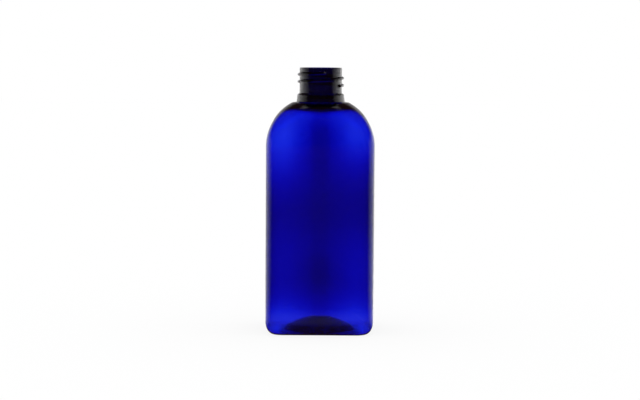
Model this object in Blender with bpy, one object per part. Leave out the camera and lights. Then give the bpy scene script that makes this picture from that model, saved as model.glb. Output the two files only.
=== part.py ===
"""A square blow-moulded bottle with an open, moulded screw neck, modelled for Blender 4.5.

Units are metres and +Z is up. The origin is the middle of the surface that the bottle stands on,
and its front faces -Y. The bottle is one piece: neck, shoulder, walls and base are blown from one
preform, and the screw thread is moulded in the same plastic.
"""

import math

import bmesh
import bpy

MM = 0.001

# Overall sizes
HEIGHT = 156.0 * MM  # standing surface to rim
BODY_WIDTH = 63.4 * MM  # along X
BODY_DEPTH = 63.4 * MM  # along Y
CORNER_RADIUS = 8.0 * MM  # upright edges of the body
SHOULDER_RADIUS = 28.0 * MM  # arc that turns the walls in to the neck

# Neck, from the rim down to the land that the neck stands on
NECK_HEIGHT = 20.3 * MM
NECK_DIAMETER = 25.0 * MM  # plain wall between the threads
NECK_WALL = 1.75 * MM
RIM_ROUND = 0.35 * MM  # both edges of the sealing face
COLLAR_HEIGHT = 4.5 * MM  # thicker band at the foot of the neck
COLLAR_STEP = 1.3 * MM  # how far the band stands out at its top
COLLAR_FLARE = 0.4 * MM  # how much further it stands out at its foot
LAND_WIDTH = 2.6 * MM  # nearly level ledge round the foot of the collar
LAND_DROP = 0.3 * MM

# Right-hand single-start thread
THREAD_DEPTH = 1.2 * MM
THREAD_PITCH = 25.4 / 6 * MM  # six threads to the inch
THREAD_TURNS = 1.9  # with both run-outs
THREAD_RUNOUT_TURNS = 0.18  # stretch at each end that fades into the wall
THREAD_ROOT_WIDTH = 2.3 * MM
THREAD_CREST_WIDTH = 0.9 * MM
THREAD_TOP_GAP = 1.6 * MM  # rim to the upper flank of the first turn
THREAD_START_DEGREES = -72.0  # where the upper end lies, counted from +X; the front is -90
THREAD_ROOT_SINK = 0.4 * MM  # how far its root is buried in the neck wall
THREAD_TIP_SHARE = 0.1  # share of its full height left at each tip, still inside the wall

# Walls of the blown body
BODY_WALL = 0.7 * MM
SHOULDER_WALL = 2.2 * MM  # just outside the land, where the plastic is barely stretched
SHOULDER_THINNING = 0.55  # share of the shoulder arc over which the wall thins to BODY_WALL
BASE_WALL = 1.2 * MM  # at the standing ring
BASE_MIDDLE_WALL = 2.4 * MM  # over the push-up, where the plastic is barely stretched

# Base
HEEL_WIDTH = 5.2 * MM  # the rounding from wall to standing ring, measured inwards
HEEL_HEIGHT = 8.2 * MM  # and measured upwards
HEEL_CORNER = 5.5 * MM  # corner radius of the standing ring's outer edge
RING_WIDTH = 4.0 * MM  # flat standing ring, at the middle of each side
PUSH_UP_HEIGHT = 5.9 * MM
PUSH_UP_TOP_RADIUS = 4.5 * MM
PUSH_UP_EASING = 0.25  # 0 makes the push-up a plain cone, 1 a bell whose foot and top are level
GATE_RADIUS = 2.0 * MM  # injection point left in the middle of the push-up
GATE_TIP_RADIUS = 1.6 * MM
GATE_HEIGHT = 0.5 * MM

# Fineness of the mesh
SEGMENTS = 48  # round every section, a multiple of 4
RIM_STEPS = 2
SHOULDER_STEPS = 10
HEEL_STEPS = 5
PUSH_UP_STEPS = 6
FLAT_SHARE = 1 / 6  # share of each quarter's points that lie on one flat half side
LEAST_SHARE = 1e-9  # stands in for none, so that a circle's points can be divided by it

PLASTIC_COLOUR = (0.006, 0.004, 0.30, 1.0)
PLASTIC_ROUGHNESS = 0.06
SMOOTH_ANGLE = math.radians(35)

HALF_WIDTH = BODY_WIDTH / 2
HALF_DEPTH = BODY_DEPTH / 2
NECK_RADIUS = NECK_DIAMETER / 2
BORE_RADIUS = NECK_RADIUS - NECK_WALL
COLLAR_FOOT_RADIUS = NECK_RADIUS + COLLAR_STEP + COLLAR_FLARE
LAND_RADIUS = COLLAR_FOOT_RADIUS + LAND_WIDTH
LAND_Z = HEIGHT - NECK_HEIGHT
SHOULDER_TOP_Z = LAND_Z - LAND_DROP
BORE_FOOT_Z = LAND_Z - SHOULDER_WALL / 2
COLLAR_TOP_Z = LAND_Z + COLLAR_HEIGHT
BODY_SQUARENESS = 1 - CORNER_RADIUS / min(HALF_WIDTH, HALF_DEPTH)
RING_INNER_RADIUS = min(HALF_WIDTH, HALF_DEPTH) - HEEL_WIDTH - RING_WIDTH


def clear_scene():
    """Removes the objects of the file that the script runs in."""
    for item in list(bpy.data.objects):
        bpy.data.objects.remove(item, do_unlink=True)


def section_point(angle, half_x, half_y, corner):
    """The point at one angle round an upright section: a rectangle with round corners, or a circle.

    Each quarter has a flat half side, a corner arc and another flat half side. The flats take their
    full share of the points at the body's squareness, and none on a circle.
    """
    quarter = math.atan2(abs(math.sin(angle)), abs(math.cos(angle))) / (math.pi / 2)
    squareness = 1 - corner / min(half_x, half_y)
    flat = max(FLAT_SHARE * min(squareness / BODY_SQUARENESS, 1), LEAST_SHARE)
    along_x = min((1 - quarter) / flat, 1)
    along_y = min(quarter / flat, 1)
    turn = min(max((quarter - flat) / (1 - 2 * flat), 0), 1) * math.pi / 2
    x = (half_x - corner) * along_x + corner * math.cos(turn)
    y = (half_y - corner) * along_y + corner * math.sin(turn)
    return math.copysign(x, math.cos(angle)), math.copysign(y, math.sin(angle))


def round_section(radius, z):
    return radius, radius, radius, z


def arc_angles(start, end, steps):
    """Evenly spaced angles, both ends included."""
    return [start + (end - start) * i / steps for i in range(steps + 1)]


def shoulder_sections(wall_at):
    """Sections from the land's edge down the shoulder arc to the top of the upright walls.

    wall_at gives how far inside the outer surface a section lies at each share of the arc.
    """
    arc_middle = HALF_WIDTH - SHOULDER_RADIUS
    start = math.asin(min(max((LAND_RADIUS - arc_middle) / SHOULDER_RADIUS, 0), 1))
    base_z = SHOULDER_TOP_Z - SHOULDER_RADIUS * math.cos(start)
    sections = []
    for angle in arc_angles(start, math.pi / 2, SHOULDER_STEPS):
        share = (angle - start) / (math.pi / 2 - start)
        wall = wall_at(share)
        reach = arc_middle + SHOULDER_RADIUS * math.sin(angle)
        spread = (reach - LAND_RADIUS) / (HALF_WIDTH - LAND_RADIUS)
        half_x = LAND_RADIUS + (HALF_WIDTH - LAND_RADIUS) * spread
        half_y = LAND_RADIUS + (HALF_DEPTH - LAND_RADIUS) * spread
        squareness = BODY_SQUARENESS * math.sin(share * math.pi / 2)
        corner = (1 - squareness) * min(half_x, half_y)
        inward = wall * math.sin(angle)
        z = base_z + SHOULDER_RADIUS * math.cos(angle) - wall * math.cos(angle)
        sections.append((half_x - inward, half_y - inward, corner - inward, z))
    return sections


def heel_sections(wall, floor):
    """Sections round the heel, from the foot of the walls down to the standing ring's edge."""
    sections = []
    for angle in arc_angles(0, math.pi / 2, HEEL_STEPS):
        inward = wall + (HEEL_WIDTH - wall) * (1 - math.cos(angle))
        corner_loss = wall + (CORNER_RADIUS - HEEL_CORNER - wall) * (1 - math.cos(angle))
        z = HEEL_HEIGHT - (HEEL_HEIGHT - floor) * math.sin(angle)
        sections.append((HALF_WIDTH - inward, HALF_DEPTH - inward, CORNER_RADIUS - corner_loss, z))
    return sections


def push_up_sections(foot_z, top_z):
    """Sections of the push-up, a cone with eased ends, from the standing ring's inner edge to its top."""
    sections = []
    for i in range(PUSH_UP_STEPS + 1):
        share = i / PUSH_UP_STEPS
        radius = RING_INNER_RADIUS + (PUSH_UP_TOP_RADIUS - RING_INNER_RADIUS) * share
        rise = share - PUSH_UP_EASING * math.sin(2 * math.pi * share) / (2 * math.pi)
        sections.append(round_section(radius, foot_z + (top_z - foot_z) * rise))
    return sections


def rim_sections():
    """Sections over the rim, from the bore's edge across the sealing face to the outside."""
    sections = []
    for angle in arc_angles(0, math.pi / 2, RIM_STEPS):
        radius = BORE_RADIUS + RIM_ROUND * (1 - math.cos(angle))
        sections.append(round_section(radius, HEIGHT - RIM_ROUND * (1 - math.sin(angle))))
    for angle in arc_angles(math.pi / 2, 0, RIM_STEPS):
        radius = NECK_RADIUS - RIM_ROUND * (1 - math.cos(angle))
        sections.append(round_section(radius, HEIGHT - RIM_ROUND * (1 - math.sin(angle))))
    return sections


def outer_sections():
    """Sections of the outer skin, from the neck wall under the rim to the gate in the base."""
    sections = [
        round_section(NECK_RADIUS, COLLAR_TOP_Z + COLLAR_STEP / 2),
        round_section(NECK_RADIUS + COLLAR_STEP, COLLAR_TOP_Z),
        round_section(COLLAR_FOOT_RADIUS, LAND_Z),
    ]
    sections += shoulder_sections(lambda share: 0.0)
    sections += heel_sections(0.0, 0.0)
    sections += push_up_sections(0.0, PUSH_UP_HEIGHT)
    sections.append(round_section(GATE_RADIUS, PUSH_UP_HEIGHT))
    sections.append(round_section(GATE_TIP_RADIUS, PUSH_UP_HEIGHT - GATE_HEIGHT))
    return sections


def shoulder_wall(share):
    """Wall thickness at a share of the shoulder arc: thick by the neck, thin by the walls."""
    thinned = min(share / SHOULDER_THINNING, 1)
    return SHOULDER_WALL + (BODY_WALL - SHOULDER_WALL) * math.sin(thinned * math.pi / 2)


def inner_sections():
    """Sections of the inner skin, from the foot of the bore to the middle of the floor."""
    sections = [round_section(BORE_RADIUS, BORE_FOOT_Z)]
    sections += shoulder_sections(shoulder_wall)
    sections += heel_sections(BODY_WALL, BASE_WALL)
    sections += push_up_sections(BASE_WALL, PUSH_UP_HEIGHT + BASE_MIDDLE_WALL)
    return sections


def place_ring(points, step, section):
    """Moves a closed loop of points onto a section, each by the step round it that it carries."""
    half_x, half_y, corner, z = section
    for point in points:
        angle = 2 * math.pi * point[step] / SEGMENTS
        x, y = section_point(angle, half_x, half_y, corner)
        point.co = (x, y, z)


def bottle_skin():
    """The bottle's walls as one closed skin, extruded from section to section.

    The run goes from the gate out over the base, up the outside, over the rim and down the inside.
    """
    run = outer_sections()[::-1] + rim_sections()[::-1] + inner_sections()
    mesh = bmesh.new()
    step = mesh.verts.layers.int.new("step")
    points = bmesh.ops.create_circle(mesh, segments=SEGMENTS, radius=1, cap_ends=True)["verts"]
    for i, point in enumerate(points):
        point[step] = i
    place_ring(points, step, run[0])
    edges = mesh.edges[:]
    for section in run[1:]:
        made = bmesh.ops.extrude_edge_only(mesh, edges=edges)["geom"]
        place_ring([item for item in made if isinstance(item, bmesh.types.BMVert)], step, section)
        edges = [item for item in made if isinstance(item, bmesh.types.BMEdge) and item.is_boundary]
    bmesh.ops.edgeloop_fill(mesh, edges=edges)
    bmesh.ops.recalc_face_normals(mesh, faces=mesh.faces)
    return mesh


def thread_ridge():
    """The thread: a ridge swept down a helix, whose ends fade into the neck wall."""
    mesh = bmesh.new()
    steps = round(THREAD_TURNS * SEGMENTS)
    start = math.radians(THREAD_START_DEGREES)
    top = HEIGHT - THREAD_TOP_GAP - THREAD_ROOT_WIDTH / 2
    loops = []
    for i in range(steps + 1):
        turns = THREAD_TURNS * i / steps
        fade = min(turns, THREAD_TURNS - turns) / THREAD_RUNOUT_TURNS
        height = math.sin(min(fade, 1) * math.pi / 2)
        angle = start - 2 * math.pi * turns
        middle = top - THREAD_PITCH * turns
        root = NECK_RADIUS - THREAD_ROOT_SINK
        crest = root + (THREAD_DEPTH + THREAD_ROOT_SINK) * max(height, THREAD_TIP_SHARE)
        outline = [
            (root, THREAD_ROOT_WIDTH / 2),
            (crest, THREAD_CREST_WIDTH / 2),
            (crest, -THREAD_CREST_WIDTH / 2),
            (root, -THREAD_ROOT_WIDTH / 2),
        ]
        loops.append([
            mesh.verts.new((r * math.cos(angle), r * math.sin(angle), middle + z)) for r, z in outline
        ])
    for first, second in zip(loops, loops[1:]):
        for k in range(4):
            mesh.faces.new((first[k], first[k - 1], second[k - 1], second[k]))
    mesh.faces.new(loops[0])
    mesh.faces.new(loops[-1])
    bmesh.ops.recalc_face_normals(mesh, faces=mesh.faces)
    return mesh


def add_object(name, mesh):
    """Makes an object of a bmesh at the origin and shades its round surfaces smooth."""
    data = bpy.data.meshes.new(name)
    mesh.to_mesh(data)
    mesh.free()
    data.shade_smooth()
    data.set_sharp_from_angle(angle=SMOOTH_ANGLE)
    item = bpy.data.objects.new(name, data)
    bpy.context.scene.collection.objects.link(item)
    return item


def blue_plastic():
    """Clear blow-moulded plastic with a deep cobalt blue tint."""
    material = bpy.data.materials.new("cobalt_blue_plastic")
    material.use_nodes = True
    shader = material.node_tree.nodes["Principled BSDF"]
    shader.inputs["Base Color"].default_value = PLASTIC_COLOUR
    shader.inputs["Roughness"].default_value = PLASTIC_ROUGHNESS
    shader.inputs["Metallic"].default_value = 0.0
    return material


def make_bottle():
    """The bottle: its blown skin with the moulded thread joined to the neck."""
    bottle = add_object("bottle", bottle_skin())
    ridge = add_object("thread_ridge", thread_ridge())
    ridge.hide_render = True
    ridge.display_type = "WIRE"
    union = bottle.modifiers.new("thread", "BOOLEAN")
    union.operation = "UNION"
    union.solver = "EXACT"
    union.object = ridge
    bottle.data.materials.append(blue_plastic())
    return bottle


clear_scene()
make_bottle()
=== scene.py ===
"""A studio picture of a square bottle, blown in clear cobalt-blue plastic, with an open screw neck.

The bottle is one piece of plastic. Its fine mesh here has the real one's uneven blown walls, and stands
for the CAD model's plain one. Units are metres, +Z is up, and the bottle's front faces -Y.
"""

import math

import bmesh
import bpy
from bpy.props import FloatProperty, FloatVectorProperty, IntProperty, PointerProperty
from bpy.types import Operator, Panel, PropertyGroup
from mathutils import Matrix, Vector


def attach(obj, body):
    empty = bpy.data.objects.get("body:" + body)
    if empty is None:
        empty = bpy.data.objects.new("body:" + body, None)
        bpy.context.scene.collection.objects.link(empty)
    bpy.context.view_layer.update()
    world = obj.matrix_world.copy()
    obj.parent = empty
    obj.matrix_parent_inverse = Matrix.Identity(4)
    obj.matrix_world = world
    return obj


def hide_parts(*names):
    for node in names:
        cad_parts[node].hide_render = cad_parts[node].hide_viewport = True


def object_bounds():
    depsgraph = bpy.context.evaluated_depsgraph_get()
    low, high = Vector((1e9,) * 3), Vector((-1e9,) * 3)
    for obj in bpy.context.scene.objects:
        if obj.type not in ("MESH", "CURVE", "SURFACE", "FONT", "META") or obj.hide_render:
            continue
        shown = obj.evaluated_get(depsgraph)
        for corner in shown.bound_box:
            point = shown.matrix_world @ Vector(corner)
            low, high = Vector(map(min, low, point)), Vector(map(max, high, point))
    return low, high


bl_info = {
    "name": "Cobalt square bottle",
    "version": (1, 0, 0),
    "blender": (4, 5, 0),
    "location": "3D View > Sidebar > Bottle",
    "description": "Blows the bottle's fine mesh in tinted plastic and sets it on a white table",
    "category": "Object",
}

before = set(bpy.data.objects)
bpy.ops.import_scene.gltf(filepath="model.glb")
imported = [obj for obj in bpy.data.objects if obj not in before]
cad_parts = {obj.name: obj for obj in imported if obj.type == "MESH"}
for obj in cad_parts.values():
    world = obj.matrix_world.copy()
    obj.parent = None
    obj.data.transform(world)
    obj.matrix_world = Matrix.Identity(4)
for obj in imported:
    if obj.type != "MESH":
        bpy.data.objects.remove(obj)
cad_low, cad_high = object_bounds()

MM = 0.001
HEIGHT = cad_high.z
HALF_WIDTH = cad_high.x
HALF_DEPTH = cad_high.y
NARROW_HALF = min(HALF_WIDTH, HALF_DEPTH)


def linear(hex_colour):
    """A linear colour from an sRGB hex one, such as 1E2AC8."""
    channels = [int(hex_colour[i:i + 2], 16) / 255 for i in (0, 2, 4)]
    return [c / 12.92 if c <= 0.04045 else ((c + 0.055) / 1.055) ** 2.4 for c in channels]


def length(name, description, millimetres):
    """A size that the sidebar shows as a length."""
    return FloatProperty(name=name, description=description, default=millimetres * MM, unit="LENGTH")


class BottleSizes(PropertyGroup):
    """The bottle's moulded outside. Its height, width and depth come from the frame."""

    corner_radius: length("Corner radius", "Rounding of the body's upright edges", 8.0)
    shoulder_radius: length("Shoulder radius", "Arc that turns the walls in to the neck", 28.0)
    neck_height: length("Neck height", "From the land round its foot up to the rim", 20.3)
    neck_diameter: length("Neck diameter", "Plain wall between the threads", 25.0)
    neck_wall: length("Neck wall", "Thickness of the plain neck wall", 1.75)
    rim_round: length("Rim rounding", "Both edges of the sealing face", 0.35)
    collar_height: length("Collar height", "Thicker band at the foot of the neck", 4.5)
    collar_step: length("Collar step", "How far the band stands out at its top", 1.3)
    collar_flare: length("Collar flare", "How much further it stands out at its foot", 0.4)
    collar_round: length("Collar rounding", "The band's upper edge, and the fillet at its foot", 0.45)
    land_width: length("Land width", "Nearly level ledge round the foot of the collar", 2.6)
    land_drop: length("Land drop", "How far the land slopes down outwards", 0.3)
    thread_depth: length("Thread depth", "Crest of the thread above the neck wall", 1.2)
    thread_pitch: length("Thread pitch", "Six threads to the inch", 25.4 / 6)
    thread_foot: length("Thread foot", "Width of the thread where it meets the wall", 2.1)
    thread_crest: length("Thread crest", "Width of the thread at its top", 0.8)
    thread_gap: length("Thread gap", "From the rim to the thread's first edge", 1.7)
    thread_turns: FloatProperty(name="Turns", description="Length of the thread", default=1.9)
    thread_fade: FloatProperty(name="Run-out", description="Turns over which each end fades", default=0.03)
    thread_start: FloatProperty(
        name="Thread start",
        description="Where the upper end lies, counted from +X; the front is at -90 degrees",
        default=math.radians(-74),
        subtype="ANGLE",
    )
    heel_width: length("Heel width", "Rounding from wall to standing ring, measured inwards", 5.2)
    heel_height: length("Heel height", "The same rounding, measured upwards", 8.2)
    heel_corner: length("Heel corner", "Corner radius of the standing ring's outer edge", 5.5)
    ring_width: length("Ring width", "Flat standing ring, at the middle of each side", 4.0)
    push_up: length("Push-up", "Height of the hollow pushed up in the base", 5.9)
    push_up_top: length("Push-up top", "Radius of its flat top", 4.5)
    push_up_easing: FloatProperty(
        name="Push-up easing",
        description="0 makes it a plain cone, 1 a bell with a level foot and top",
        default=0.25,
    )
    gate_radius: length("Gate radius", "Injection point left in the middle of the push-up", 2.0)
    gate_height: length("Gate height", "How far the injection point stands proud", 0.5)


class WallSizes(PropertyGroup):
    """The blown wall's thickness, which is uneven: thick by the neck and in mid-side, thin at corners."""

    least: length("Thinnest wall", "At the ends of the body and in its corners", 0.36)
    swell: length("Body swell", "Added over the middle of the height", 0.27)
    belly: length("Belly", "Added in a band a little above mid-height", 0.13)
    mid_side: length("Mid-side", "Added down the middle of each side", 0.13)
    mid_side_top: length("Mid-side, top", "Added there below the shoulder", 0.22)
    mid_side_foot: length("Mid-side, foot", "Added there above the base", 0.17)
    lean: length("Lean", "How much thicker the +X side is than the -X side, towards the top", 0.075)
    by_neck: length("By the neck", "Where the shoulder meets the land, barely stretched", 2.4)
    neck_reach: length("Reach from the neck", "How far out the shoulder stays thick", 3.4)
    base: length("Base", "At the standing ring", 0.45)
    gate: length("Middle of the base", "Round the injection point, barely stretched", 2.5)


class PlasticLook(PropertyGroup):
    """Clear plastic with a cobalt-blue dye."""

    passes: FloatVectorProperty(
        name="Passes",
        description="Colour that the dye lets through",
        default=linear("137BE9"),
        subtype="COLOR",
    )
    dye: FloatProperty(name="Dye", description="Light taken off for each metre of plastic", default=7800)
    bend: FloatProperty(name="IOR", description="Polyester's index of refraction", default=1.575)
    sheen: FloatProperty(name="Roughness", description="Polished mould surface", default=0.03)
    ripple: length("Ripple", "Height of the slow waves that blowing leaves in a wall", 0.02)
    peel: length("Orange peel", "Height of the fine texture of the mould's surface", 0.0015)
    parting_width: length("Parting line width", "Wider than the real one, so that it shows", 0.3)
    parting_height: length("Parting line height", "How far the mould's parting line stands proud", 0.03)


class StageLook(PropertyGroup):
    """A white table and backdrop, a dim room with light panels at both sides, and the camera."""

    table_radius: length("Table radius", "Half the width of the table", 4000.0)
    table_colour: FloatVectorProperty(
        name="Table", description="Pale matt table", default=linear("EFEFEF"), subtype="COLOR"
    )
    table_shade: FloatProperty(
        name="Table shade", description="How dark a shadow the white table shows", default=0.15
    )
    backdrop: FloatProperty(name="Backdrop", description="Radiance of the white backdrop", default=2.75)
    # Painted shade: the dark colour that the table shows in front of the bottle to rays the bottle mirrors.
    table_painted_shade: FloatVectorProperty(
        name="Dim room",
        description="What the front of the bottle mirrors in the table",
        default=linear("482934"),
        subtype="COLOR",
    )
    dim_ceiling: FloatVectorProperty(
        name="Dim ceiling",
        description="What the bottle mirrors above the table",
        default=linear("321F24"),
        subtype="COLOR",
    )
    # Also the brightness of the painted light at the table's sides, as the bottle mirrors it.
    panel: FloatProperty(
        name="Side panels", description="Radiance of a panel at full brightness", default=3.0
    )
    top_light: FloatProperty(
        name="Top light", description="Radiance of the small lamp high up behind the bottle", default=0.5
    )
    # Painted light: the brightness of a faint glow painted on the table round the bottle's foot.
    painted_glow_by_foot: FloatProperty(
        name="Near table",
        description="Radiance of the table round the bottle's foot, as its walls mirror it",
        default=0.12,
    )
    camera_distance: length("Camera distance", "From the bottle's axis, over the ground", 1250.0)
    camera_angle: FloatProperty(
        name="Camera angle",
        description="How far the camera looks down at the rim",
        default=math.radians(1.0),
        subtype="ANGLE",
    )
    camera_roll: FloatProperty(
        name="Camera roll",
        description="How far the camera leans",
        default=math.radians(0.37),
        subtype="ANGLE",
    )
    camera_aim: FloatProperty(
        name="Aim", description="Share of the bottle's height that the camera is aimed at", default=0.496
    )
    lens: FloatProperty(
        name="Lens", description="Focal length on a 36 mm sensor, in millimetres", default=118.5
    )


class Fineness(PropertyGroup):
    """How many steps the mesh takes."""

    around: IntProperty(name="Around", description="Steps round every section, a multiple of 4", default=192)
    thread_step: length("Thread step", "Height between rings where the thread runs", 0.13)
    rim: IntProperty(name="Rim", description="Steps over each rounded edge", default=4)
    shoulder: IntProperty(name="Shoulder", description="Steps down the shoulder", default=36)
    body: IntProperty(name="Body", description="Steps down the straight walls", default=36)
    heel: IntProperty(name="Heel", description="Steps round the heel", default=16)
    base: IntProperty(name="Base", description="Steps over the push-up", default=30)
    fillet: IntProperty(
        name="Fillet", description="Steps from the bore to the shoulder's inside", default=12
    )


def smooth_step(value, low, high):
    """0 up to low and 1 from high on, with a smooth rise between; low may be the larger."""
    share = min(max((value - low) / (high - low), 0), 1)
    return share * share * (3 - 2 * share)


def arc_angles(start, end, steps):
    """Evenly spaced angles, both ends included."""
    return [start + (end - start) * i / steps for i in range(steps + 1)]


FLAT_SHARE = 1 / 6  # share of each quarter's steps that lie on one flat half side
LEAST_SHARE = 1e-9  # stands in for none, so that a circle's steps can be divided by it


def section_point(angle, section, sizes):
    """The point at one angle round a level section: a rectangle with round corners, or a circle.

    Each quarter has a flat half side, a corner arc and another flat half side. The flats take their
    full share of the steps at the body's squareness, and none on a circle.
    """
    half_x, half_y, corner, z = section
    quarter = math.atan2(abs(math.sin(angle)), abs(math.cos(angle))) / (math.pi / 2)
    squareness = (1 - corner / min(half_x, half_y)) / (1 - sizes.corner_radius / NARROW_HALF)
    flat = max(FLAT_SHARE * min(squareness, 1), LEAST_SHARE)
    turn = min(max((quarter - flat) / (1 - 2 * flat), 0), 1) * math.pi / 2
    x = (half_x - corner) * min((1 - quarter) / flat, 1) + corner * math.cos(turn)
    y = (half_y - corner) * min(quarter / flat, 1) + corner * math.sin(turn)
    return Vector((math.copysign(x, math.cos(angle)), math.copysign(y, math.sin(angle)), z))


def round_section(radius, z):
    return radius, radius, radius, z


GATE_TAPER = 0.8  # the injection point's face, as a share of its foot


def base_sections(sizes, steps):
    """The underside, from the injection point out over the push-up to the standing ring's inner edge."""
    sections = [
        round_section(sizes.gate_radius * GATE_TAPER, sizes.push_up - sizes.gate_height),
        round_section(sizes.gate_radius, sizes.push_up),
    ]
    ring = NARROW_HALF - sizes.heel_width - sizes.ring_width
    for i in range(steps + 1):
        share = i / steps
        radius = sizes.push_up_top + (ring - sizes.push_up_top) * share
        fall = share - sizes.push_up_easing * math.sin(2 * math.pi * share) / (2 * math.pi)
        sections.append(round_section(radius, sizes.push_up * (1 - fall)))
    return sections


def heel_sections(sizes, steps):
    """The heel, from the standing ring's outer edge up to the foot of the walls."""
    sections = []
    for angle in arc_angles(math.pi / 2, 0, steps):
        inward = sizes.heel_width * (1 - math.cos(angle))
        corner = sizes.corner_radius - (sizes.corner_radius - sizes.heel_corner) * (1 - math.cos(angle))
        z = sizes.heel_height * (1 - math.sin(angle))
        sections.append((HALF_WIDTH - inward, HALF_DEPTH - inward, corner, z))
    return sections


def land_radius(sizes):
    return sizes.neck_diameter / 2 + sizes.collar_step + sizes.collar_flare + sizes.land_width


def land_z(sizes):
    return HEIGHT - sizes.neck_height


def shoulder_sections(sizes, steps):
    """The shoulder, from the top of the walls up its arc to the land's edge."""
    middle = HALF_WIDTH - sizes.shoulder_radius
    land = land_radius(sizes)
    end = math.asin((land - middle) / sizes.shoulder_radius)
    base_z = land_z(sizes) - sizes.land_drop - sizes.shoulder_radius * math.cos(end)
    sections = []
    for angle in arc_angles(math.pi / 2, end, steps):
        share = (angle - end) / (math.pi / 2 - end)
        spread = (middle + sizes.shoulder_radius * math.sin(angle) - land) / (HALF_WIDTH - land)
        half_x = land + (HALF_WIDTH - land) * spread
        half_y = land + (HALF_DEPTH - land) * spread
        squareness = (1 - sizes.corner_radius / NARROW_HALF) * math.sin(share * math.pi / 2)
        corner = (1 - squareness) * min(half_x, half_y)
        sections.append((half_x, half_y, corner, base_z + sizes.shoulder_radius * math.cos(angle)))
    return sections


def body_sections(foot, top, steps):
    """The straight walls between the heel's last section and the shoulder's first."""
    heights = [foot[3] + (top[3] - foot[3]) * i / steps for i in range(1, steps)]
    return [(HALF_WIDTH, HALF_DEPTH, foot[2], z) for z in heights]


def rounding(corner, start, end, steps):
    """Round sections along a quadratic curve that rounds a profile's corner, given as (radius, z)."""
    sections = []
    for i in range(steps + 1):
        share = i / steps
        first = Vector(start).lerp(Vector(corner), share)
        second = Vector(corner).lerp(Vector(end), share)
        radius, z = first.lerp(second, share)
        sections.append(round_section(radius, z))
    return sections


def neck_sections(sizes, fineness):
    """The neck's outside from the land over the collar and the threaded wall to the rim."""
    wall = sizes.neck_diameter / 2
    low, soft = land_z(sizes), sizes.collar_round
    top = low + sizes.collar_height
    slope_top = top + sizes.collar_step / 2
    foot = wall + sizes.collar_step + sizes.collar_flare
    edge = wall + sizes.collar_step
    corners = (
        ((foot, low), (foot + soft, low), (foot, low + soft)),
        ((edge, top), (edge, top - soft), (edge - soft, top + soft / 2)),
        ((wall, slope_top), (wall + soft, slope_top - soft / 2), (wall, slope_top + soft)),
    )
    sections = []
    for corner, start, end in corners:
        sections += rounding(corner, start, end, fineness.rim)
    bottom = sections[-1][3]
    upper = HEIGHT - sizes.rim_round
    rings = math.ceil((upper - bottom) / fineness.thread_step)
    return sections + [round_section(wall, bottom + (upper - bottom) * i / rings) for i in range(1, rings)]


def rim_sections(sizes, steps):
    """Over the rim, from the outer wall across the sealing face into the bore."""
    wall = sizes.neck_diameter / 2
    bore = wall - sizes.neck_wall
    soft = sizes.rim_round
    sections = rounding((wall, HEIGHT), (wall, HEIGHT - soft), (wall - soft, HEIGHT), steps)
    return sections + rounding((bore, HEIGHT), (bore + soft, HEIGHT), (bore, HEIGHT - soft), steps)


def thread_height(point, sizes):
    """How far the thread stands out at a point of the neck wall."""
    angle = math.atan2(point.y, point.x)
    turn = ((sizes.thread_start - angle) / (2 * math.pi)) % 1
    top = HEIGHT - sizes.thread_gap - sizes.thread_foot / 2
    highest = 0.0
    while turn < sizes.thread_turns:
        away = abs(point.z - (top - sizes.thread_pitch * turn))
        flank = smooth_step(away, sizes.thread_foot / 2, sizes.thread_crest / 2)
        fade = smooth_step(min(turn, sizes.thread_turns - turn), 0, sizes.thread_fade)
        highest = max(highest, sizes.thread_depth * flank * fade)
        turn += 1
    return highest


# Where the blown wall changes, in millimetres: heights, or places across a side from its middle.
# A step goes from its first number to its second, and a bump has its middle and its spread.
SWELL_FOOT_STEP = (5, 25)
SWELL_TOP_STEP = (120, 80)
BELLY_BUMP = (70, 16)
CROWN_STEP = (78, 112)
CROWN_END_STEP = (128, 116)
MID_SIDE_FOOT_BUMP = (33, 11)
MID_SIDE_STEP = (21, 3)
MID_SIDE_CORE_STEP = (7, 2)
MID_SIDE_CORE_SHARE = 0.4
LEAN_BUMP = (90, 20)
LEAN_BACK_BUMP = (35, 15)
LEAN_BACK_SHARE = 0.4
NECK_ZONE_FOOT = 115
NECK_FALL_POWER = 1.5
PUSH_UP_STEP_SHARE = 0.75  # of the standing ring's inner radius: the push-up is at its thickest inside that


def bump(value, middle, spread):
    """1 at the middle, dying away on both sides over the spread."""
    return math.exp(-(((value - middle) / spread) ** 2))


def wall_thickness(point, sizes, walls):
    """The blown wall's thickness under a point of the outside, from its height and place across the side."""
    z, across = point.z / MM, min(abs(point.x), abs(point.y)) / MM
    radius = math.hypot(point.x, point.y)
    swell = smooth_step(z, *SWELL_FOOT_STEP) * smooth_step(z, *SWELL_TOP_STEP)
    crown = (
        walls.mid_side
        + walls.mid_side_top * smooth_step(z, *CROWN_STEP) * smooth_step(z, *CROWN_END_STEP)
        + walls.mid_side_foot * bump(z, *MID_SIDE_FOOT_BUMP)
    )
    core = MID_SIDE_CORE_SHARE * smooth_step(across, *MID_SIDE_CORE_STEP)
    middle = (1 - MID_SIDE_CORE_SHARE) * smooth_step(across, *MID_SIDE_STEP) + core
    tilt = bump(z, *LEAN_BUMP) - LEAN_BACK_SHARE * bump(z, *LEAN_BACK_BUMP)
    lean = walls.lean * tilt * point.x / HALF_WIDTH
    body = walls.least + walls.swell * swell + walls.belly * bump(z, *BELLY_BUMP)
    blown = body + crown * middle + lean
    beyond = max(radius - land_radius(sizes), 0) / walls.neck_reach
    by_neck = math.exp(-(beyond**NECK_FALL_POWER)) if z > NECK_ZONE_FOOT else 0
    return blown + (walls.by_neck - blown) * by_neck


def base_thickness(point, sizes, walls):
    """The thickness over the standing ring and the push-up, from a place's distance to the axis."""
    ring = NARROW_HALF - sizes.heel_width - sizes.ring_width
    inside = smooth_step(math.hypot(point.x, point.y), ring, PUSH_UP_STEP_SHARE * ring)
    return walls.base + (walls.gate - walls.base) * inside


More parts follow.
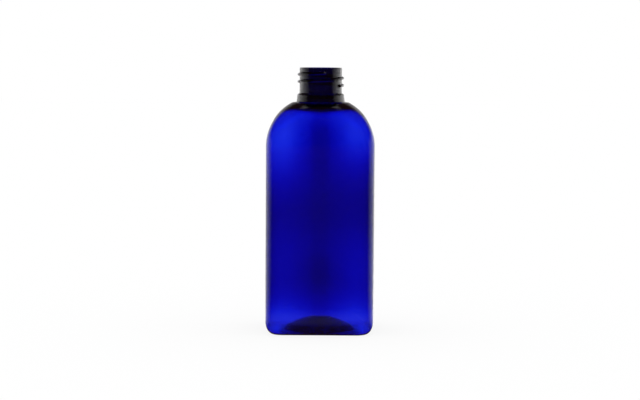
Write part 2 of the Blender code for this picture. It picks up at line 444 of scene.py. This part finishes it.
class Skin:
    """A closed skin drawn out ring by ring, like a tube, from a small disc."""

    def __init__(self, around, section, sizes):
        self.mesh = bmesh.new()
        self.around = around
        self.sizes = sizes
        self.step = self.mesh.verts.layers.int.new("step")
        disc = bmesh.ops.create_circle(self.mesh, segments=around, radius=1, cap_ends=True)["verts"]
        for i, vert in enumerate(disc):
            vert[self.step] = i
        self.edges = self.mesh.edges[:]
        self.place(disc, self.outline(section))

    def outline(self, section):
        """The points of a level section, one for each step round it."""
        return [section_point(2 * math.pi * i / self.around, section, self.sizes) for i in range(self.around)]

    def place(self, verts, points):
        for vert in verts:
            vert.co = points[vert[self.step]]
        self.ring = sorted(verts, key=lambda vert: vert[self.step])
        return self.ring

    def draw(self, points):
        """Extrudes the open edge to the next ring's points and returns that ring."""
        made = bmesh.ops.extrude_edge_only(self.mesh, edges=self.edges)["geom"]
        self.edges = [item for item in made if isinstance(item, bmesh.types.BMEdge) and item.is_boundary]
        return self.place([item for item in made if isinstance(item, bmesh.types.BMVert)], points)

    def close(self):
        bmesh.ops.edgeloop_fill(self.mesh, edges=self.edges)
        bmesh.ops.recalc_face_normals(self.mesh, faces=self.mesh.faces)
        return self.mesh


def with_thread(points, sizes):
    """A neck section's points, moved out by the thread where it passes."""
    raised = []
    for point in points:
        outward = Vector((point.x, point.y, 0)).normalized()
        raised.append(point + outward * thread_height(point, sizes))
    return raised


def inner_points(rings, thickness, sizes, walls):
    """Points of the inner skin under each outer ring; the skin's normals point inwards until it is closed."""
    return [[v.co + v.normal * thickness(v.co, sizes, walls) for v in ring] for ring in rings]


def bottle_skin(sizes, walls, fineness):
    """The whole bottle: up its outside from the base to the rim, and down its inside to the floor."""
    base = base_sections(sizes, fineness.base)
    heel = heel_sections(sizes, fineness.heel)
    shoulder = shoulder_sections(sizes, fineness.shoulder)
    body = body_sections(heel[-1], shoulder[0], fineness.body)
    skin = Skin(fineness.around, base[0], sizes)
    floor_rings = [skin.draw(skin.outline(section)) for section in base[1:]]
    wall_rings = [skin.draw(skin.outline(section)) for section in heel + body + shoulder]
    for section in neck_sections(sizes, fineness):
        skin.draw(with_thread(skin.outline(section), sizes))
    skin.mesh.normal_update()
    floor_inside = inner_points(floor_rings, base_thickness, sizes, walls)
    wall_inside = inner_points(wall_rings, wall_thickness, sizes, walls)
    blend_heel(wall_inside, wall_rings, sizes, walls, fineness.heel)
    for section in rim_sections(sizes, fineness.rim):
        skin.draw(skin.outline(section))
    draw_fillet(skin, wall_inside[-1], sizes, fineness)
    for points in wall_inside[::-1] + floor_inside[:0:-1]:
        skin.draw(points)
    return skin.close()


HEEL_STEP = (0.3, 1)  # shares of the way round the heel, from the walls down to the standing ring


def blend_heel(wall_inside, wall_rings, sizes, walls, steps):
    """Lets the wall thicken round the heel from its own thickness to the standing ring's."""
    for i in range(steps + 1):
        blend = smooth_step(1 - i / steps, *HEEL_STEP)
        for k, vert in enumerate(wall_rings[i]):
            wall = wall_thickness(vert.co, sizes, walls)
            thickness = wall + (walls.base - wall) * blend
            wall_inside[i][k] = vert.co + vert.normal * thickness


def draw_fillet(skin, shoulder_inside, sizes, fineness):
    """Carries the bore down and turns it out, in a soft curve, to the shoulder's inside."""
    bore = sizes.neck_diameter / 2 - sizes.neck_wall
    below_rim_z = HEIGHT - sizes.neck_height / 3
    start_z = land_z(sizes) + sizes.collar_height
    turn_z = land_z(sizes) + sizes.land_drop
    for z in (below_rim_z, start_z):
        skin.draw(skin.outline(round_section(bore, z)))
    starts = skin.outline(round_section(bore, start_z))
    turns = skin.outline(round_section(bore, turn_z))
    for i in range(1, fineness.fillet):
        share = i / fineness.fillet
        points = []
        for start, turn, end in zip(starts, turns, shoulder_inside):
            points.append(start.lerp(turn, share).lerp(turn.lerp(end, share), share))
        skin.draw(points)


def add_node(tree, kind, settings=None, links=None):
    """Adds a node. Settings are its own fields or its inputs' values, and links are its inputs' sources."""
    node = tree.nodes.new(kind)
    for name, value in (settings or {}).items():
        if isinstance(name, int) or name in node.inputs:
            node.inputs[name].default_value = value
        else:
            setattr(node, name, value)
    for name, source in (links or {}).items():
        tree.links.new(source, node.inputs[name])
    return node


ABSOLUTE = {"operation": "ABSOLUTE"}
MULTIPLY = {"operation": "MULTIPLY"}


def fading(none, full):
    """Settings for a Map Range node: a smooth change from 0 to 1 as its value goes from none to full."""
    return {"interpolation_type": "SMOOTHSTEP", "From Min": none, "From Max": full}


def empty_tree(owner):
    """A material's or world's node tree with nothing in it."""
    owner.use_nodes = True
    owner.node_tree.nodes.clear()
    return owner.node_tree


RIPPLE_LENGTH = 14 * MM
PEEL_GRAIN = 1.6 * MM  # coarser than a polished mould's, so that it shows
SCUFF_LENGTH = 9 * MM
SCUFF_SPREAD = (0.35, 0.75)  # the part of the noise's range that changes the roughness
SHEEN_SPREAD = (0.6, 1.6)  # the smoothest and roughest places, as shares of the roughness


def blown_surface(tree, look):
    """The blown wall's relief: slow ripples, the mould's fine texture and its parting line."""
    place = add_node(tree, "ShaderNodeTexCoord").outputs["Object"]
    ripple = add_node(
        tree,
        "ShaderNodeTexNoise",
        {"Scale": 1 / RIPPLE_LENGTH, "Detail": 1.0, "Roughness": 0.4},
        {"Vector": place},
    )
    waved = add_node(
        tree,
        "ShaderNodeBump",
        {"Strength": 1.0, "Distance": look.ripple},
        {"Height": ripple.outputs["Fac"]},
    )
    peel = add_node(
        tree,
        "ShaderNodeTexNoise",
        {"Scale": 1 / PEEL_GRAIN, "Detail": 2.0, "Roughness": 0.5},
        {"Vector": place},
    )
    textured = add_node(
        tree,
        "ShaderNodeBump",
        {"Strength": 1.0, "Distance": look.peel},
        {"Height": peel.outputs["Fac"], "Normal": waved.outputs["Normal"]},
    )
    depth = add_node(tree, "ShaderNodeSeparateXYZ", {}, {"Vector": place}).outputs["Y"]
    off_line = add_node(tree, "ShaderNodeMath", ABSOLUTE, {0: depth}).outputs[0]
    line = add_node(tree, "ShaderNodeMapRange", fading(look.parting_width, 0.0), {"Value": off_line})
    return add_node(
        tree,
        "ShaderNodeBump",
        {"Strength": 1.0, "Distance": look.parting_height},
        {"Height": line.outputs["Result"], "Normal": textured.outputs["Normal"]},
    ).outputs["Normal"]


def cobalt_polyester(look):
    """Polyester blown in a polished mould: clear as glass, and blue only through its dye.

    The eye sees the colour deepen wherever it looks through more plastic, under a hard, smooth gloss.
    """
    material = bpy.data.materials.new("cobalt_blown_polyester")
    tree = empty_tree(material)
    place = add_node(tree, "ShaderNodeTexCoord").outputs["Object"]
    scuffs = add_node(
        tree,
        "ShaderNodeTexNoise",
        {"Scale": 1 / SCUFF_LENGTH, "Detail": 4.0, "Roughness": 0.6},
        {"Vector": place},
    )
    low, high = SCUFF_SPREAD
    smooth, rough = (look.sheen * share for share in SHEEN_SPREAD)
    roughness = add_node(
        tree,
        "ShaderNodeMapRange",
        {"From Min": low, "From Max": high, "To Min": smooth, "To Max": rough},
        {"Value": scuffs.outputs["Fac"]},
    )
    shader = add_node(
        tree,
        "ShaderNodeBsdfPrincipled",
        {"Base Color": (1, 1, 1, 1), "IOR": look.bend, "Transmission Weight": 1.0},
        {"Roughness": roughness.outputs["Result"], "Normal": blown_surface(tree, look)},
    )
    dye = add_node(tree, "ShaderNodeVolumeAbsorption", {"Color": (*look.passes, 1), "Density": look.dye})
    add_node(
        tree,
        "ShaderNodeOutputMaterial",
        {},
        {"Surface": shader.outputs["BSDF"], "Volume": dye.outputs["Volume"]},
    )
    return material


NEAR_PASSES = 2.5  # a ray that has passed through more skins than this has left the near walls


def mirrored_share(tree):
    """1 for light that the bottle's near walls mirror, and 0 for light seen directly or through it."""
    path = add_node(tree, "ShaderNodeLightPath")
    mirrored = add_node(
        tree, "ShaderNodeMath", {"operation": "GREATER_THAN", 1: 0.5}, {0: path.outputs["Glossy Depth"]}
    )
    near = add_node(
        tree,
        "ShaderNodeMath",
        {"operation": "LESS_THAN", 1: NEAR_PASSES},
        {0: path.outputs["Transmission Depth"]},
    )
    return add_node(
        tree, "ShaderNodeMath", MULTIPLY, {0: mirrored.outputs[0], 1: near.outputs[0]}
    ).outputs[0]


# Distances over the table, each from where a change starts to where it is complete.
# Painted light: a faint glow that the bottle mirrors in the table round its foot. It is full from 75 to 110
# mm out, and gone within 30 mm and beyond 150 mm.
PAINTED_GLOW_EDGE = (150 * MM, 110 * MM)
PAINTED_GLOW_MIDDLE = (30 * MM, 75 * MM)
# Painted shadow: a square of the table with no light, as seen through the bottle, round its middle and moved
# forward to the -Y side.
PAINTED_SHADOW_SQUARE = (20 * MM, 27 * MM)
PAINTED_SHADOW_FORWARD = 6 * MM


def table_with_painted_light(look):
    """Matt white laminate: to the camera an even pale sheet with a faint real shadow, but to the bottle's
    rays mostly painted light.

    Seen through the bottle it glows evenly white, with a painted shadow: a dark square under the bottle,
    moved a little forward. The bottle mirrors it with painted shade in front, a faint painted glow round its
    foot, and painted light at the sides.
    """
    material = bpy.data.materials.new("white_table_painted_light")
    tree = empty_tree(material)
    place = add_node(tree, "ShaderNodeTexCoord").outputs["Object"]
    direction = add_node(tree, "ShaderNodeVectorMath", {"operation": "NORMALIZE"}, {0: place}).outputs[0]
    away = add_node(tree, "ShaderNodeVectorMath", {"operation": "LENGTH"}, {0: place}).outputs["Value"]
    # Painted light: a faint glow round the bottle's foot, which only the bottle's mirrored rays see.
    edge = add_node(tree, "ShaderNodeMapRange", fading(*PAINTED_GLOW_EDGE), {"Value": away})
    middle = add_node(tree, "ShaderNodeMapRange", fading(*PAINTED_GLOW_MIDDLE), {"Value": away})
    painted_glow_share = add_node(tree, "ShaderNodeMath", MULTIPLY, {0: edge.outputs[0], 1: middle.outputs[0]})
    near = add_node(
        tree, "ShaderNodeEmission", {"Color": (look.painted_glow_by_foot,) * 3 + (1,)}, {"Strength": painted_glow_share.outputs[0]}
    )
    # Painted shade and painted light: to mirrored rays the table is dark in front of the bottle and as bright
    # as the side panels at its sides, depending on where it lies round the bottle.
    lit = room_light(tree, look.table_painted_shade, look.panel, panel_share(tree, direction))
    far = add_node(tree, "ShaderNodeEmission", {}, {"Color": lit})
    mirrored = add_node(tree, "ShaderNodeAddShader", {}, {0: near.outputs[0], 1: far.outputs[0]})

    # Painted shadow: seen through the bottle, the table glows evenly white, except in a dark square under the
    # bottle, moved a little forward.
    parts = add_node(tree, "ShaderNodeSeparateXYZ", {}, {"Vector": place})
    sideways = add_node(tree, "ShaderNodeMath", ABSOLUTE, {0: parts.outputs["X"]})
    moved = add_node(
        tree, "ShaderNodeMath", {"operation": "ADD", 1: PAINTED_SHADOW_FORWARD}, {0: parts.outputs["Y"]}
    )
    forward = add_node(tree, "ShaderNodeMath", ABSOLUTE, {0: moved.outputs[0]})
    off_middle = add_node(
        tree, "ShaderNodeMath", {"operation": "MAXIMUM"}, {0: sideways.outputs[0], 1: forward.outputs[0]}
    )
    outside = add_node(tree, "ShaderNodeMapRange", fading(*PAINTED_SHADOW_SQUARE), {"Value": off_middle.outputs[0]})
    white_through = (*(c * look.backdrop for c in look.table_colour), 1)
    matt = add_node(tree, "ShaderNodeEmission", {"Color": white_through}, {"Strength": outside.outputs[0]})
    through = add_node(
        tree,
        "ShaderNodeMixShader",
        {},
        {0: mirrored_share(tree), 1: matt.outputs[0], 2: mirrored.outputs[0]},
    )

    shade = look.table_shade / look.backdrop
    shaded = add_node(tree, "ShaderNodeBsdfDiffuse", {"Color": (shade, shade, shade, 1)})
    white = add_node(tree, "ShaderNodeEmission", {"Strength": 1 - look.table_shade})
    direct = add_node(tree, "ShaderNodeAddShader", {}, {0: shaded.outputs[0], 1: white.outputs[0]})
    camera_ray = add_node(tree, "ShaderNodeLightPath").outputs["Is Camera Ray"]
    seen = add_node(
        tree, "ShaderNodeMixShader", {}, {0: camera_ray, 1: through.outputs[0], 2: direct.outputs[0]}
    )
    add_node(tree, "ShaderNodeOutputMaterial", {}, {"Surface": seen.outputs[0]})
    return material


PANEL_STOPS = (  # degrees to the right of straight ahead of the bottle, and share of the panels' radiance
    (-174, 0.1),
    (-160, 0.25),
    (-146, 0.42),
    (-122, 0.42),
    (-103, 0.27),
    (-88, 0.16),
    (-76, 0.09),
    (-70, 0.05),
    (-66, 0.0),
    (64, 0.0),
    (69, 0.07),
    (80, 0.16),
    (93, 0.25),
    (108, 0.38),
    (122, 0.48),
    (146, 0.5),
    (160, 0.3),
    (174, 0.1),
)


def panel_share(tree, direction):
    """The side panels' brightness in a direction, from 0 to 1: by its turn from straight ahead."""
    parts = add_node(tree, "ShaderNodeSeparateXYZ", {}, {"Vector": direction})
    ahead = add_node(tree, "ShaderNodeMath", {**MULTIPLY, 1: -1.0}, {0: parts.outputs["Y"]})
    turn = add_node(
        tree, "ShaderNodeMath", {"operation": "ARCTAN2"}, {0: parts.outputs["X"], 1: ahead.outputs[0]}
    )
    turns = add_node(tree, "ShaderNodeMath", {"operation": "DIVIDE", 1: 2 * math.pi}, {0: turn.outputs[0]})
    along = add_node(tree, "ShaderNodeMath", {"operation": "ADD", 1: 0.5}, {0: turns.outputs[0]})
    panels = add_node(tree, "ShaderNodeValToRGB", {}, {"Fac": along.outputs[0]})
    stops = panels.color_ramp.elements
    while len(stops) < len(PANEL_STOPS):
        stops.new(1.0)
    for stop, (degrees, share) in zip(stops, PANEL_STOPS):
        stop.position = degrees / 360 + 0.5
        stop.color = (share, share, share, 1)
    return panels.outputs["Color"]


def room_light(tree, dim, bright, share):
    """The colour of the room that the bottle mirrors: dim, or as bright as the lights' share there. The table
    also shows it on itself as painted shade and painted light.
    """
    return add_node(
        tree,
        "ShaderNodeMix",
        {"data_type": "RGBA", 6: (*dim, 1), 7: (bright,) * 3 + (1,)},
        {0: share},
    ).outputs[2]


PANEL_TOP_ANGLES = (math.radians(32), math.radians(8))  # where the side panels end and are full
LAMP_ANGLE = math.radians(54)  # how high the small lamp behind the bottle stands
LAMP_EDGE_ANGLES = (math.radians(14), math.radians(8))  # from its middle, where it ends and is full


def studio_world(look):
    """White light all round. The bottle mirrors a dim room with bright side panels and a small lamp."""
    world = bpy.data.worlds.new("white_studio")
    tree = empty_tree(world)
    towards = add_node(tree, "ShaderNodeTexCoord").outputs["Generated"]
    parts = add_node(tree, "ShaderNodeSeparateXYZ", {}, {"Vector": towards})
    heights = [math.sin(angle) for angle in PANEL_TOP_ANGLES]
    low = add_node(tree, "ShaderNodeMapRange", fading(*heights), {"Value": parts.outputs["Z"]})
    sides = add_node(
        tree, "ShaderNodeMath", MULTIPLY, {0: panel_share(tree, towards), 1: low.outputs[0]}
    )
    lamp = (0, math.cos(LAMP_ANGLE), math.sin(LAMP_ANGLE))
    close = add_node(tree, "ShaderNodeVectorMath", {"operation": "DOT_PRODUCT", 1: lamp}, {0: towards})
    edges = [math.cos(angle) for angle in LAMP_EDGE_ANGLES]
    spot = add_node(tree, "ShaderNodeMapRange", fading(*edges), {"Value": close.outputs["Value"]})
    top = add_node(
        tree, "ShaderNodeMath", {**MULTIPLY, 1: look.top_light / look.panel}, {0: spot.outputs[0]}
    )
    lit = add_node(tree, "ShaderNodeMath", {"operation": "MAXIMUM"}, {0: sides.outputs[0], 1: top.outputs[0]})
    room = room_light(tree, look.dim_ceiling, look.panel, lit.outputs[0])
    through = add_node(
        tree,
        "ShaderNodeMix",
        {"data_type": "RGBA", 6: (look.backdrop,) * 3 + (1,)},
        {0: mirrored_share(tree), 7: room},
    )
    camera_ray = add_node(tree, "ShaderNodeLightPath").outputs["Is Camera Ray"]
    seen = add_node(
        tree,
        "ShaderNodeMix",
        {"data_type": "RGBA", 7: (1, 1, 1, 1)},
        {0: camera_ray, 6: through.outputs[2]},
    )
    light = add_node(tree, "ShaderNodeBackground", {}, {"Color": seen.outputs[2]})
    add_node(tree, "ShaderNodeOutputWorld", {}, {"Surface": light.outputs["Background"]})
    return world


SMOOTH_ANGLE = math.radians(40)


def add_object(name, mesh, material):
    """Makes an object of a bmesh at the origin, with its round surfaces shaded smooth."""
    data = bpy.data.meshes.new(name)
    mesh.to_mesh(data)
    mesh.free()
    data.shade_smooth()
    data.set_sharp_from_angle(angle=SMOOTH_ANGLE)
    data.materials.append(material)
    item = bpy.data.objects.new(name, data)
    bpy.context.scene.collection.objects.link(item)
    return item


class BOTTLE_OT_blow(Operator):
    """Blow the bottle: one piece of cobalt-blue plastic with a moulded screw neck"""

    bl_idname = "bottle.blow"
    bl_label = "Blow the bottle"

    def execute(self, context):
        scene = context.scene
        skin = bottle_skin(scene.bottle_sizes, scene.bottle_walls, scene.bottle_fineness)
        bottle = add_object("blown_bottle", skin, cobalt_polyester(scene.bottle_plastic))
        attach(bottle, "root")
        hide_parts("bottle")
        return {"FINISHED"}


class BOTTLE_OT_stage(Operator):
    """Set the stage: a white table, a white studio and the camera"""

    bl_idname = "bottle.stage"
    bl_label = "Set the stage"

    def execute(self, context):
        scene = context.scene
        look = scene.bottle_stage
        lay_table(look)
        scene.world = studio_world(look)
        scene.camera = place_camera(look)
        scene.view_settings.view_transform = "Standard"
        return {"FINISHED"}


def lay_table(look):
    """A round sheet, so wide that the white backdrop begins far behind the bottle."""
    mesh = bmesh.new()
    bmesh.ops.create_circle(mesh, segments=64, radius=look.table_radius, cap_ends=True)
    table = add_object("table", mesh, table_with_painted_light(look))


SENSOR_WIDTH = 36  # millimetres
CLIP_END = 100  # metres, well past the table's edge


def place_camera(look):
    """A long lens straight in front, a little above the rim and aimed at the bottle's middle."""
    data = bpy.data.cameras.new("camera")
    data.sensor_width = SENSOR_WIDTH
    data.lens = look.lens
    data.clip_end = CLIP_END
    camera = bpy.data.objects.new("camera", data)
    bpy.context.scene.collection.objects.link(camera)
    height = HEIGHT + look.camera_distance * math.tan(look.camera_angle)
    place = Vector((0, -look.camera_distance, height))
    aim = Vector((0, 0, HEIGHT * look.camera_aim))
    turn = (aim - place).to_track_quat("-Z", "Y").to_matrix().to_4x4()
    camera.matrix_world = Matrix.Translation(place) @ turn @ Matrix.Rotation(look.camera_roll, 4, "Z")
    return camera


class BOTTLE_PT_sidebar(Panel):
    """The bottle's steps and sizes"""

    bl_label = "Cobalt bottle"
    bl_space_type = "VIEW_3D"
    bl_region_type = "UI"
    bl_category = "Bottle"

    def draw(self, context):
        layout = self.layout
        for operator in OPERATORS:
            layout.operator(operator.bl_idname)
        for name, group in GROUPS.items():
            box = layout.box()
            box.label(text=name.replace("_", " ").capitalize())
            for prop in group.__annotations__:
                box.prop(getattr(context.scene, name), prop)


GROUPS = {
    "bottle_sizes": BottleSizes,
    "bottle_walls": WallSizes,
    "bottle_plastic": PlasticLook,
    "bottle_stage": StageLook,
    "bottle_fineness": Fineness,
}
OPERATORS = (BOTTLE_OT_blow, BOTTLE_OT_stage)


def register():
    for group in (*GROUPS.values(), *OPERATORS, BOTTLE_PT_sidebar):
        bpy.utils.register_class(group)
    for name, group in GROUPS.items():
        setattr(bpy.types.Scene, name, PointerProperty(type=group))


def unregister():
    for name in GROUPS:
        delattr(bpy.types.Scene, name)
    for group in (BOTTLE_PT_sidebar, *reversed(OPERATORS), *reversed(GROUPS.values())):
        bpy.utils.unregister_class(group)


def main():
    register()
    bpy.ops.bottle.stage()
    bpy.ops.bottle.blow()


if __name__ == "__main__":
    main()
